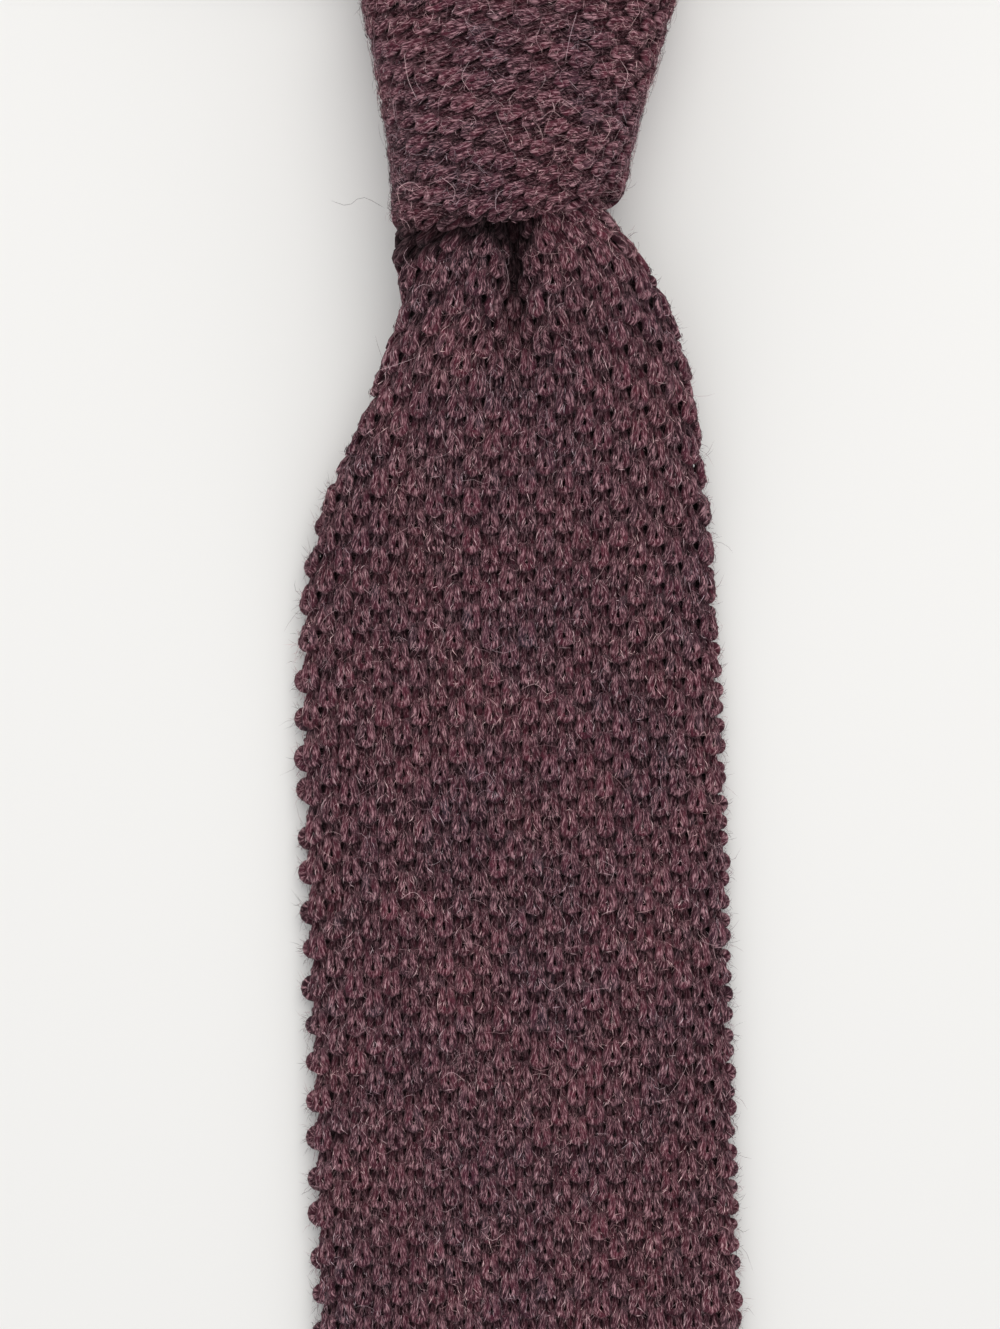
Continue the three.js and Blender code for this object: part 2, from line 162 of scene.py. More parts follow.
def half_section(cloth, width, pleat=0.0, reach=1.0, level=1.0, droop=0.0):
    """Half a section's middle line, walked to its edge: x, z and tilt at each step."""
    ds = cloth / WALK
    straight = max(0.0, width - 0.5 * FABRIC - FOLD_RADIUS * (1 - math.sin(droop)))
    x = z = turned = 0.0
    walked = [(0.0, 0.0, 0.0)]
    for k in range(WALK):
        q = (k + 0.5) * ds / reach
        if x >= straight or turned > 0:
            turned = min(math.pi, turned + ds / FOLD_RADIUS)
        past = float(smooth((q - PLEAT_FLOOR) / (1 - PLEAT_FLOOR)))
        climb = pleat * (q / PLEAT_FLOOR if q < PLEAT_FLOOR else 1 - past)
        tip = droop * min(1.0, max(0.0, (x / width - level) / (1 - min(level, 0.99))))
        tilt = climb - mix(tip, 0.0, turned / math.pi) - turned
        x += math.cos(tilt) * ds
        z += math.sin(tilt) * ds
        walked.append((x, z, tilt))
    return np.array(walked)[::KEPT_STEPS]


def section(left, right=None):
    """A whole section from its left edge to its right edge."""
    a = half_section(**left)[1:][::-1] * np.array([-1, 1, -1])
    return np.vstack([a, half_section(**(right or left))])


class Strip:
    """A grid of points on a strip's middle, rows along it and columns across it, with normals."""

    def __init__(self, points, normals, cloth):
        self.points, self.normals, self.cloth = points, normals, cloth
        self.middle = points[:, points.shape[1] // 2]
        self.along = way_along(self.middle)
        height = points[..., 2]
        left_rim = np.maximum.accumulate(height, axis=1)
        right_rim = np.maximum.accumulate(height[:, ::-1], axis=1)[:, ::-1]
        self.pool = np.minimum(left_rim, right_rim) - height

    def place(self, along, across):
        row = np.interp(along, self.along, np.arange(len(self.along)))
        return row, clamp01((across + 1) / 2) * (self.points.shape[1] - 1)

    def sunk(self, along, across):
        """How far a point lies below both rims of the fold that it is in."""
        row, column = self.place(along, across)
        return self.pool[np.round(row).astype(int), np.round(column).astype(int)]

    def at(self, along, across, height):
        """The point and normal at a distance along, a share across (-1 to 1) and a height over the middle."""
        row, column = self.place(along, across)
        i = np.clip(row.astype(int), 0, len(self.along) - 2)
        j = np.clip(column.astype(int), 0, self.points.shape[1] - 2)
        a, b = (row - i)[..., None], (column - j)[..., None]
        both = []
        for grid in (self.points, self.normals):
            low = mix(grid[i, j], grid[i, j + 1], b)
            high = mix(grid[i + 1, j], grid[i + 1, j + 1], b)
            both.append(mix(low, high, a))
        point, normal = both[0], unit(both[1])
        over = (np.abs(across) - 1).clip(0)[..., None] * np.sign(across)[..., None]
        if np.any(over):
            sideways = unit(self.points[i, -1] - self.points[i, 0])
            point = point + over * self.cloth * 0.5 * sideways
        return point + normal * np.asarray(height)[..., None], normal


def strip_of(sections, cloth):
    """A strip from (line, origin, across, up) for each station."""
    points, normals = [], []
    for line, origin, across, up in sections:
        x, z, tilt = line.T
        points.append(origin + x[:, None] * across + z[:, None] * up)
        normals.append(-np.sin(tilt)[:, None] * across + np.cos(tilt)[:, None] * up)
    return Strip(np.array(points), np.array(normals), cloth)


PLAIN_X, PLAIN_Z = np.array([1.0, 0, 0]), np.array([0, 0, 1.0])


def row_at(rows, key, at):
    return {column: float(read(rows, key, column, at)) for column in rows if column != key}


def knot_sides(y):
    at = y / KNOT_HEIGHT
    width = mix(KNOT_FOOT, KNOT_TOP, read(KNOT_ROWS, "at", "width", at))
    left = -width * read(KNOT_ROWS, "at", "left", at)
    return left, left + width, 0.5 * FABRIC * read(KNOT_ROWS, "at", "bulge", at)


def knot_middle(y):
    left, right, _ = knot_sides(y)
    return 0.5 * (left + right)


FLAT_PITCH = 6.0
BLADE_RISE = (-78.0, 14.1, 1.0)  # from where to where sections lie closer, and their pitch
TAIL_RISE = (-64.0, 0.52 * KNOT_HEIGHT, 1.5)


def stations(length, closer):
    return np.concatenate([np.arange(-length, closer[0], FLAT_PITCH), np.arange(*closer)])


def blade_strip():
    on_tail = 1.5 * FABRIC + SEAT
    out = []
    for y in stations(BLADE_LENGTH, BLADE_RISE):
        row = row_at(BLADE_ROWS, "down", -y / SHOULDER)
        over = float(smooth((y + TAIL_LENGTH + SETTLE) / SETTLE))
        shared = dict(
            cloth=0.5 * BLADE_WIDTH * row["cloth"],
            pleat=math.radians(row["pleat"]),
            reach=row["reach"] * BLADE_WIDTH,
            level=row["level"],
            droop=math.radians(row["droop"]) * over,
        )
        line = section(*(dict(shared, width=row[side] * BLADE_WIDTH) for side in ("left", "right")))
        height = mix(mix(0.5 * FABRIC, on_tail, over), PASS_LAYER, row["rise"])
        origin = np.array([row["mid"] * BLADE_WIDTH, y, height - line[:, 1].max()])
        out.append((line, origin, PLAIN_X, PLAIN_Z))
    return strip_of(out, BLADE_WIDTH)


CREST_RADIUS = 0.5 * (PASS_LAYER - TURN_FLOOR)
CREST_START = 0.93 * KNOT_HEIGHT
PASS_START = 0.32 * KNOT_HEIGHT
PASS_EASE = 1.1
CREST_TURNS = (8, 155, 20)  # first and last, in degrees, and how many
CREST_NARROW, CREST_NARROW_BY = 0.38, 95
TAIL_AXIS = 0.2 * KNOT_HEIGHT


def crest_strip():
    """The blade's pass through the knot and over its top."""
    wide = BLADE_ROWS["left"][0] * BLADE_WIDTH
    out = []

    def over(y, z, turn, narrow):
        half = dict(
            cloth=narrow * 0.5 * BLADE_WIDTH * BLADE_ROWS["cloth"][0],
            width=PASS_EASE * wide,
            level=BLADE_ROWS["level"][0],
            droop=narrow * math.radians(BLADE_ROWS["droop"][0]),
        )
        up = np.array([0.0, math.sin(turn), math.cos(turn)])
        out.append((section(half), np.array([float(knot_middle(y)), y, z]), PLAIN_X, up))

    for y in np.linspace(PASS_START, CREST_START, 12):
        over(y, PASS_LAYER, 0.0, 1.0)
    for turn in np.linspace(*CREST_TURNS):
        a = math.radians(turn)
        y = CREST_START + CREST_RADIUS * math.sin(a)
        narrow = mix(1, CREST_NARROW, float(smooth(turn / CREST_NARROW_BY)))
        over(y, PASS_LAYER - CREST_RADIUS * (1 - math.cos(a)), a, narrow)
    return strip_of(out, BLADE_WIDTH * BLADE_ROWS["cloth"][0])


def tail_strip():
    out = []
    for y in stations(TAIL_LENGTH, TAIL_RISE):
        row = row_at(TAIL_ROWS, "down", -y / SHOULDER)
        half = dict(cloth=0.5 * TAIL_WIDTH * row["cloth"], width=row["wide"] * TAIL_WIDTH)
        line = section(half)
        height = mix(0.5 * FABRIC, TAIL_IN_KNOT, row["rise"])
        lowest = (line[:, 1] - 0.5 * FABRIC * np.abs(np.cos(line[:, 2]))).min() + height
        axis = float(knot_middle(TAIL_AXIS)) * row["rise"]
        out.append((line, np.array([axis, y, height - min(0.0, lowest)]), PLAIN_X, PLAIN_Z))
    return strip_of(out, TAIL_WIDTH)


STRAND_START = 0.55 * KNOT_HEIGHT
STRAND_HALF = 0.5 * (0.5 * KNOT_TOP - 1.25 * FABRIC) - 6 * SEAT
BAND_LEAN = math.radians(68)
STRAND_EASE = 0.6
STRAND_CLOTH, BAND_HALF = 0.8, 0.56

# Where each change of the band begins and how long it is, as shares of its width
LEANS, SPREADS, SINKS = (0.4, 2.0), (0.35, 1.8), (0.75, 1.0)


def catmull(points, per_span):
    """A centripetal curve through points, as the construction's route is."""
    p = np.vstack([2 * points[0] - points[1], points, 2 * points[-1] - points[-2]])
    out = []
    for k in range(1, len(p) - 2):
        t = np.cumsum([0] + [max(np.linalg.norm(p[k + a] - p[k + a - 1]), 1e-4) ** 0.5 for a in (0, 1, 2)])
        s = np.linspace(t[1], t[2], per_span, endpoint=False)[:, None]

        def between(i, j, a, b):
            return (t[j] - s) / (t[j] - t[i]) * a + (s - t[i]) / (t[j] - t[i]) * b

        a1, a2, a3 = (between(i, i + 1, p[k + i - 1], p[k + i]) for i in range(3))
        out.append(between(1, 2, between(0, 2, a1, a2), between(1, 3, a2, a3)))
    return np.vstack(out + [points[-1:]])


def loop_route(length):
    foot = float(knot_middle(STRAND_START))
    up, out = np.array(LOOP_ROWS["up"]), np.array(LOOP_ROWS["out"])
    x = (STRAND_HALF + SEAT) * (1 - smooth(up / STRAND_EASE)) + 0.5 * LOOP_WIDTH * out
    y = STRAND_START + length * up
    right = np.stack([foot + x, y, 0 * x], 1)
    left = np.stack([foot - x, y, 0 * x], 1)[::-1]
    far = np.array([[foot, STRAND_START + length, 0.0]])
    return catmull(np.vstack([right, far, left]), 24)


SHORTEST_LOOP, HALVINGS = 0.05, 30
BAND_SECTIONS = 200
SIGHT = 0.8


def band_strip():
    low, high = SHORTEST_LOOP * NECK_LENGTH, NECK_LENGTH
    for _ in range(HALVINGS):
        tried = 0.5 * (low + high)
        length = np.linalg.norm(np.diff(loop_route(tried), axis=0), axis=1).sum()
        low, high = (tried, high) if length < NECK_LENGTH else (low, tried)
    route = loop_route(0.5 * (low + high))
    travelled = way_along(route)
    out = []
    for s in np.linspace(0, travelled[-1], BAND_SECTIONS):
        here, ahead, behind = (
            np.array([np.interp(d, travelled, route[:, k]) for k in range(3)])
            for d in (s, min(s + SIGHT, travelled[-1]), max(s - SIGHT, 0))
        )
        t = unit(ahead - behind)
        outward = np.array([t[1], -t[0], 0.0])
        from_knot = min(s, travelled[-1] - s)
        leaning, spread, sunk = (
            float(smooth((from_knot - start * NECK_WIDTH) / (over * NECK_WIDTH)))
            for start, over in (LEANS, SPREADS, SINKS)
        )
        lean = BAND_LEAN * leaning
        across = outward * math.cos(lean) + PLAIN_Z * math.sin(lean)
        up = -outward * math.sin(lean) + PLAIN_Z * math.cos(lean)
        half = dict(
            cloth=mix(STRAND_CLOTH, 1, spread) * 0.5 * NECK_WIDTH,
            width=mix(STRAND_HALF, BAND_HALF * NECK_WIDTH, spread),
        )
        line = section(half)
        z = line[:, 0] * across[2] + line[:, 1] * up[2]
        nz = -np.sin(line[:, 2]) * across[2] + np.cos(line[:, 2]) * up[2]
        lowest = (z - 0.5 * FABRIC * np.abs(nz)).min()
        out.append((line, here + PLAIN_Z * (mix(FABRIC + 3 * SEAT, 0.0, sunk) - lowest), across, up))
    return strip_of(out, NECK_WIDTH)


def power(x, exponent):
    return np.sign(x) * np.abs(x) ** exponent


# The wrap's rims as shares of the knot's height, and how boxy the ring is
FOOT = {"back": 0.05, "left": -0.02, "right": 0.09, "sag": 0.03}
TOP = {"back": 0.78, "left": 0.93, "right": 0.98}
FLANK, ROOF = (2 / 2.9, 2 / 4), (2 / 2.5, 2 / 5)


def wrap_point(angle, s):
    c, f = np.cos(angle), np.sin(angle)
    front, right = smooth(0.5 + 0.5 * f), 0.5 + 0.5 * c
    foot = mix(FOOT["back"], mix(FOOT["left"], FOOT["right"], right) - FOOT["sag"] * (1 - c * c), front)
    top = mix(TOP["back"], mix(TOP["left"], TOP["right"], right), front)
    y = mix(KNOT_HEIGHT * foot, KNOT_HEIGHT * top, s)
    left, right, bulge = knot_sides(y)
    half = 0.5 * (right - left) - 0.5 * FABRIC
    flank, roof = (np.where(f > 0, *ends) for ends in (FLANK, ROOF))
    middle, depth = 0.5 * (BACK_LAYER + FRONT_LAYER), 0.5 * (FRONT_LAYER - BACK_LAYER)
    x = 0.5 * (left + right) + half * power(c, flank)
    z = middle + (depth + np.maximum(0, f) * bulge) * power(f, roof)
    return np.stack(np.broadcast_arrays(x, y, z), -1)


ROLL = 1.2  # radius of the wrap's rims
ROLL_SEAT = 2.3  # from a rim to where it begins to turn
ROLL_INSIDE = 6.0
WRAP_HEIGHT = 0.9 * KNOT_HEIGHT
FINE_TURNS, WRAP_ROWS, WRAP_COLUMNS = 721, 181, 81
CORNER, CORNER_FROM, CORNER_OVER = 2.0, 0.55, 0.45  # how the foot is drawn up at the right


def wrap_strip():
    """Rows go round the knot from the middle of its back. Columns go up it, and roll inwards at both rims."""
    angles = np.linspace(-0.5 * math.pi, 1.5 * math.pi, FINE_TURNS)
    travelled = way_along(wrap_point(angles, 0.5))
    even = np.interp(np.linspace(0, travelled[-1], WRAP_ROWS), travelled, angles)[::-1]
    hidden = math.pi * ROLL + ROLL_INSIDE
    flat = WRAP_HEIGHT - 2 * ROLL_SEAT
    reach = np.linspace(-hidden, flat + hidden, WRAP_COLUMNS)
    a, d = np.meshgrid(even, reach, indexing="ij")
    past = np.where(d < 0, -d, np.maximum(0, d - flat))
    way = np.where(d < 0, -1.0, 1.0)[..., None]
    corner = CORNER * smooth((np.cos(a) - CORNER_FROM) / CORNER_OVER) * (1 - clamp01(d / flat))
    s = (ROLL_SEAT + corner + np.clip(d, 0, flat) * (1 - corner / flat)) / WRAP_HEIGHT
    tiny = 1e-4
    rising = unit(wrap_point(a, s + tiny) - wrap_point(a, s - tiny))
    along = wrap_point(a + tiny, s) - wrap_point(a - tiny, s)
    outward = unit(np.cross(rising, along))
    turn = np.minimum(past / ROLL, math.pi)[..., None]
    inside = np.maximum(0, past - math.pi * ROLL)[..., None]
    points = wrap_point(a, s) + way * rising * (ROLL * np.sin(turn) - inside) - outward * ROLL * (1 - np.cos(turn))
    return Strip(points, unit(outward * np.cos(turn) + way * rising * np.sin(turn)), reach[-1] - reach[0])


# Meshes
TABLE_GAP = 0.06
PRESSED = 0.02


def linked(name, data):
    obj = bpy.data.objects.new(name, data)
    bpy.context.scene.collection.objects.link(obj)
    return obj


def new_mesh(name, points, faces, maps=None, smooth_shaded=True):
    """An object from points in the construction's millimetres. Nothing of it lies in the table."""
    mesh = bpy.data.meshes.new(name)
    placed = points + ZERO
    over = placed[:, 2] - TABLE_GAP
    placed[:, 2] = np.where(over < 0, TABLE_GAP + PRESSED * over, placed[:, 2])
    mesh.from_pydata((placed * MM).tolist(), [], faces)
    loops = np.empty(len(mesh.loops), dtype=np.int32)
    mesh.loops.foreach_get("vertex_index", loops)
    for key, values in (maps or {}).items():
        layer = mesh.uv_layers.new(name=key)
        layer.data.foreach_set("uv", values[loops].astype(np.float32).ravel())
    mesh.polygons.foreach_set("use_smooth", np.full(len(mesh.polygons), smooth_shaded))
    mesh.update()
    return linked(name, mesh)


STEEP, HEAD_LIFT = 1.7, 0.1  # how soon a stitch is at its full height, and how much higher its head is
FIRST_COURSE = 0.15
SHIFTED, LIFTED = 0.8, 0.5  # how uneven stitches are across and in height, against along
NUDGE = 0.05
YARN_RUN = 4000.0


class Knit:
    """A stretch of moss stitch: each course's path, with the cloth's directions and the places in the stitches
    at its points. Its form gives the wales, the points of a stitch and the yarn's sides."""

    def __init__(self, strip, form, first, last, pitch=COURSE, bend=None, wobble=0.1, lean=0.0, drift=None,
                 closed=False, folds=False, raised=RAISED, back_head=BACK_HEAD):
        wales, samples, self.sides = form
        courses = int(round((last - first) / pitch))
        t = np.arange(wales * samples + 1) / samples * 2 * math.pi
        turns = t / (2 * math.pi)
        stitch = np.minimum(np.floor(turns).astype(int), wales - 1)
        wale = strip.cloth / wales
        x = turns + LOOP_SWELL * np.sin(2 * t)
        y = 0.5 * LOOP_HEIGHT * (1 - np.cos(t)) * pitch / COURSE
        lift = clamp01(STEEP * np.sin((t - stitch * 2 * math.pi) / 2)) + HEAD_LIFT * (1 - np.cos(t))
        sign = np.where((stitch[None, :] + np.arange(courses)[:, None]) % 2 == 0, 1.0, -1.0)
        hand = RNG.normal(0, wobble, (3, courses, wales + 1))
        pull, shift, rise = (np.array([np.interp(turns, np.arange(wales + 1), h) for h in part]) for part in hand)
        across = 2 * x / wales - 1 + shift * SHIFTED / strip.cloth
        along = last - pitch * (np.arange(courses)[:, None] + FIRST_COURSE) - y + pull
        along = along - lean * (across + 1) * 0.5 * strip.cloth
        if bend is not None:
            along = along + bend(along, across)
        if drift is not None:
            across = across + drift(along) * 2 / strip.cloth
        if closed:
            along = np.mod(along, strip.along[-1])
        head = 0.5 - 0.5 * np.cos(t)
        height = raised * np.where(sign > 0, lift, back_head * head**2 - lift) + rise * LIFTED
        self.paths, self.normals = strip.at(along, across, height)
        self.across = unit(strip.at(along, across + NUDGE / strip.cloth, height)[0] - self.paths)
        self.along = unit(np.cross(self.normals, self.across))
        self.x = np.broadcast_to((x - stitch - 0.5) * wale, across.shape)
        self.y = np.broadcast_to(y, across.shape)
        self.height = height
        # How deep each point lies in a fold, which darkens the yarn there with painted shade and thins its fibres
        self.sunk = strip.sunk(along, across) if folds else np.zeros_like(height)
        self.shade = RNG.random((courses, wales))[:, stitch]
        self.starts = RNG.uniform(0, YARN_RUN, courses)
        self.size = LOOP_HEIGHT * pitch / COURSE


def rings(side, lift, sides):
    """A ring of directions round each point of several paths, and its turns."""
    turn = np.arange(sides) / sides * 2 * math.pi
    return np.cos(turn)[:, None] * side[:, :, None] + np.sin(turn)[:, None] * lift[:, :, None], turn


TUBE_END = 0.55


def tubes(paths, normals, radius, sides):
    """Closed tubes round paths: their points and offsets, arrays (tube, point, side, xyz), the faces, and the
    turn of each side."""
    count, length, _ = paths.shape
    tangent = unit(np.gradient(paths, axis=1))
    side = unit(np.cross(tangent, normals))
    ring, turn = rings(side, np.cross(side, tangent), sides)
    radius = np.broadcast_to(np.asarray(radius, float), (count, length)).copy()
    radius[:, [0, -1]] *= TUBE_END
    offset = ring * radius[..., None, None]
    grid = np.arange(count * length * sides).reshape(count, length, sides)
    a, b = grid[:, :-1], grid[:, 1:]
    quads = np.stack([a, np.roll(a, -1, 2), np.roll(b, -1, 2), b], -1).reshape(-1, 4).tolist()
    caps = grid[:, 0, ::-1].tolist() + grid[:, -1].tolist()
    return paths[:, :, None] + offset, offset, quads + caps, turn / (2 * math.pi)


def yarn_object(name, points, faces, **maps):
    """An object of yarn from its tubes. Each map is given by its two values at each point."""
    for key, both in maps.items():
        maps[key] = np.stack([np.broadcast_to(v, points.shape[:-1]) for v in both], -1).reshape(-1, 2)
    return new_mesh(name, points.reshape(-1, 3), faces, maps)


FOLD_SHADE, FOLD_SHADE_FROM = 0.45, 0.6  # how much painted shade a fold puts on the yarn in it, and from what depth
FAN_APART = 97.0, 311.0


def knit_object(name, knit, radius=YARN):
    """The yarn of a knit. Its maps give the way along it, the fan of fibres, and the height, which sets the yarn's
    painted shade and highlight, with the shade.
    """
    points, offset, faces, turn = tubes(knit.paths, knit.normals, radius, knit.sides)
    x = knit.x[..., None] + np.einsum("cnsd,cnd->cns", offset, knit.across)
    y = knit.y[..., None] - np.einsum("cnsd,cnd->cns", offset, knit.along)
    high = knit.height[..., None] + np.einsum("cnsd,cnd->cns", offset, knit.normals)
    # Painted shade: the deeper the yarn lies in a fold, the lower it counts and the darker it is painted
    high = high - FOLD_SHADE * np.maximum(0, knit.sunk - FOLD_SHADE_FROM)[..., None]
    shade = knit.shade[..., None]
    spread = 0.5 + 0.5 * clamp01(y / knit.size)
    far = (way_along(knit.paths) + knit.starts[:, None])[..., None]
    fan = x / spread + FAN_APART[0] * shade, y + FAN_APART[1] * shade
    return yarn_object(name, points, faces, yarn=(far, turn), fan=fan, place=(high, shade))


def slivers(name, paths, radius, shade=None):
    """Fibres along paths: closed three-sided slivers with pointed ends."""
    count, length, _ = paths.shape
    tangent = unit(np.gradient(paths, axis=1))[:, 1:-1]
    side = unit(np.cross(tangent, RNG.normal(size=(count, 1, 3))))
    ring, _ = rings(side, np.cross(tangent, side), 3)
    r = np.broadcast_to(np.asarray(radius, float), (count,))[:, None, None, None]
    body = (paths[:, 1:-1, None] + ring * r).reshape(count, -1, 3)
    points = np.concatenate([paths[:, :1], body, paths[:, -1:]], axis=1)
    size, tip = points.shape[1], points.shape[1] - 1
    pattern = []
    for k in range(3):
        n = (k + 1) % 3
        pattern += [(0, 1 + n, 1 + k), (tip, tip - 3 + k, tip - 3 + n)]
        for row in range(length - 3):
            low, high = 1 + 3 * row, 4 + 3 * row
            pattern += [(low + k, low + n, high + n), (low + k, high + n, high + k)]
    faces = (np.arange(count)[:, None, None] * size + np.array(pattern)[None]).reshape(-1, 3).tolist()
    shade = RNG.random(count) if shade is None else shade
    uv = np.repeat(np.stack([RNG.random(count), shade], 1), size, axis=0)
    return new_mesh(name, points.reshape(-1, 3), faces, {"place": uv}, smooth_shaded=False)


TRIES = 12
LEAST_UP = -0.1
FOLD_START, FOLD_RATE = 1.3, 0.45  # how fibres grow fewer with the depth in a fold


def picked(knit, count, lowest):
    """Random places on the yarn's upper side, fewer in folds: rows and columns, points and directions."""
    rows, length = knit.height.shape
    i, j = RNG.integers(0, rows, count * TRIES), RNG.integers(1, length - 1, count * TRIES)
    high = clamp01((knit.height[i, j] - lowest) / (RAISED - lowest))
    chance = high * clamp01(FOLD_START - FOLD_RATE * knit.sunk[i, j])
    kept = (RNG.random(len(i)) < chance) & (knit.normals[i, j][:, 2] > LEAST_UP)
    i, j = i[kept][:count], j[kept][:count]
    return i, j, *(grid[i, j] for grid in (knit.paths, knit.normals, knit.across, knit.along))


# The fibres. Their lengths follow a gamma curve
ALIKE, LOOSE_ALIKE = 4.0, 3.0
ALONG_YARN, FAN = 0.2, 0.6  # the share that follows the yarn, and how wide the others fan out
ROUND_YARN, OVER_YARN = 1.3, (0.96, 1.12)  # how far round the yarn they lie, and how far from its middle
DIP, STAND, SWAY = 0.22, 0.15, 0.16  # how their ends follow it down, stand off it and stray sideways
MIDDLE_LIFT = 0.3
THICK, LOOSE_THICK = (0.6, 1.3), (0.6, 1.2)
CURL, ARCH = 2.0, 2.4
LOOSE_FROM, LOOSE_DEEP, LOOSE_POINTS = -0.4, 0.9, 5
LOOSE_SHADES, DOWN_SHADES = (0.4, 1.0), (0.3, 0.95)


def cover(name, knit, count, long, radius, lowest=-1.3, slant=0.0, jitter=0.27):
    """Short fibres that lie on the yarn. Over a stitch they fan out from its feet to its head."""
    i, j, point, normal, across, along = picked(knit, count, lowest)
    n = len(i)
    tangent = unit(knit.paths[i, j + 1] - knit.paths[i, j - 1])
    side = np.cross(tangent, normal)
    fan = unit(across * (knit.x[i, j] * FAN)[:, None] - along)
    way = np.where((RNG.random(n) < ALONG_YARN)[:, None], tangent, fan)
    angle = RNG.normal(slant, jitter, n)[:, None]
    way = unit(way * np.cos(angle) + np.cross(normal, way) * np.sin(angle))
    around = RNG.uniform(-ROUND_YARN, ROUND_YARN, n)[:, None]
    outward = side * np.sin(around) + normal * np.cos(around)
    middle = point + outward * YARN * RNG.uniform(*OVER_YARN, n)[:, None]
    half = RNG.gamma(ALIKE, long / (2 * ALIKE), n)[:, None]
    dip = half * half * DIP / YARN
    lift = np.abs(RNG.normal(0, 1, n))[:, None] * STAND
    start = middle - way * half - normal * dip
    end = middle + way * half - normal * (dip - lift)
    sway = np.cross(normal, way) * (RNG.normal(0, SWAY, n)[:, None] * half)
    paths = np.stack([start, middle + normal * MIDDLE_LIFT * lift + sway, end], axis=1)
    return slivers(name, paths, radius * RNG.uniform(*THICK, n))


def fuzz(name, knit, count, long, radius, stand=0.25):
    """Longer loose fibres that wander over the knit and stand a little off it."""
    _, _, point, normal, across, along = picked(knit, count, LOOSE_FROM)
    n = len(point)
    angle = RNG.uniform(0, 2 * math.pi, n)
    bend = RNG.normal(0, CURL, n)
    size = RNG.gamma(LOOSE_ALIKE, long / LOOSE_ALIKE, n)
    place = point + normal * YARN * LOOSE_DEEP
    path = [place]
    high = np.abs(RNG.normal(0, stand, n))
    last = LOOSE_POINTS - 1
    for k in range(1, LOOSE_POINTS):
        q = k / last
        heading = (angle + bend * q)[:, None]
        place = place + (across * np.cos(heading) + along * np.sin(heading)) * (size / last)[:, None]
        path.append(place + normal * (high * math.sin(q * ARCH))[:, None])
    thick = radius * RNG.uniform(*LOOSE_THICK, n)
    return slivers(name, np.stack(path, axis=1), thick, RNG.uniform(*LOOSE_SHADES, n))


DOWN_LONG, DOWN_RADIUS = 0.85, 0.024
DOWN_TURN, DOWN_SPREAD, DOWN_CURL = 1.7, 0.7, 0.5
DOWN_ROOT, DOWN_BEND = 0.6, (0.6, 0.3)


def halo(name, edge, outward, along, normal, count, reach):
    """The fine down round the knobs of a selvedge."""
    k = RNG.integers(0, len(edge), count)
    turn = RNG.uniform(-DOWN_TURN, DOWN_TURN, count)
    way = unit(outward[k] * np.cos(turn)[:, None] + along[k] * np.sin(turn)[:, None]
               + normal[k] * RNG.normal(0, DOWN_SPREAD, count)[:, None])
    size = RNG.gamma(LOOSE_ALIKE, DOWN_LONG / LOOSE_ALIKE, count)[:, None]
    start = edge[k] + along[k] * RNG.normal(0, DOWN_SPREAD, count)[:, None] + way * reach * DOWN_ROOT
    curl = along[k] * (RNG.normal(0, DOWN_CURL, count)[:, None] * size)
    bent = start + way * size * DOWN_BEND[0] + DOWN_BEND[1] * curl
    paths = np.stack([start, bent, start + way * size + curl], axis=1)
    thick = DOWN_RADIUS * RNG.uniform(*LOOSE_THICK, count)
    return slivers(name, paths, thick, RNG.uniform(*DOWN_SHADES, count))


BIGHT_TURN, BIGHT_ROOT = 0.62 * math.pi, 0.25
BIGHT_UNEVEN, BIGHT_TILT, BIGHT_SWELL = 0.09, 0.18, 0.12
# The height that the knobs' painted shade and highlight are read for
BIGHT_SHADE_HEIGHT = 0.75


def bights(name, edge, outward, along, normal, reach, height, radius, sides, points):
    """Rounded knobs of yarn that stand out of a selvedge."""
    n = len(edge)
    turn = np.linspace(-BIGHT_TURN, BIGHT_TURN, points)
    size = RNG.normal(1, BIGHT_UNEVEN, n)[:, None, None]
    tilt = RNG.normal(0, BIGHT_TILT, n)[:, None, None]
    out = (np.cos(turn)[None, :, None] - BIGHT_ROOT) * reach * size
    up = np.sin(turn)[None, :, None] * height * size
    paths = edge[:, None] + outward[:, None] * out + along[:, None] * up + normal[:, None] * (tilt * out)
    thick = np.broadcast_to(radius * (1 + BIGHT_SWELL * np.cos(turn)), (n, points)) * size[..., 0]
    tube, offset, faces, round_it = tubes(paths, np.broadcast_to(normal[:, None], paths.shape), thick, sides)
    shade = RNG.random(n)[:, None, None]
    far = way_along(paths)[..., None] + shade * YARN_RUN
    x = np.einsum("cnsd,cd->cns", offset, outward) + FAN_APART[0] * shade
    return yarn_object(name, tube, faces, yarn=(far, round_it), fan=(far, x), place=(BIGHT_SHADE_HEIGHT, shade))


EDGE_UNEVEN = 0.25
EDGE_COLUMNS = 3


def selvedge(strip, side, first, last, pitch):
    """Points along the line of a strip's edge, and the directions outward, along and up there."""
    even = np.arange(first, last, pitch)
    exact = np.interp(even + RNG.normal(0, EDGE_UNEVEN, len(even)), strip.along, np.arange(len(strip.along)))
    row = np.clip(np.round(exact).astype(int), 1, len(strip.along) - 2)
    middle = strip.points.shape[1] // 2
    across = unit(strip.points[row, middle + EDGE_COLUMNS] - strip.points[row, middle - EDGE_COLUMNS]) * side
    along = unit(strip.points[row + 1, middle] - strip.points[row - 1, middle])
    reach = np.einsum("nkd,nd->nk", strip.points[row] - strip.points[row, middle][:, None], across)
    column = reach.argmax(axis=1)
    edge = strip.points[row, column]
    edge = edge + (strip.points[row + 1, column] - edge) * (exact - row)[:, None]
    return edge, across, along, np.cross(across, along) * side


FRONT_SHADE, BACK_SHADE = -0.9, 0.45  # the heights that the painted shade of the core's two sides is read for
CORE_EDGE = 0.965
CORE_STEP = 2.0


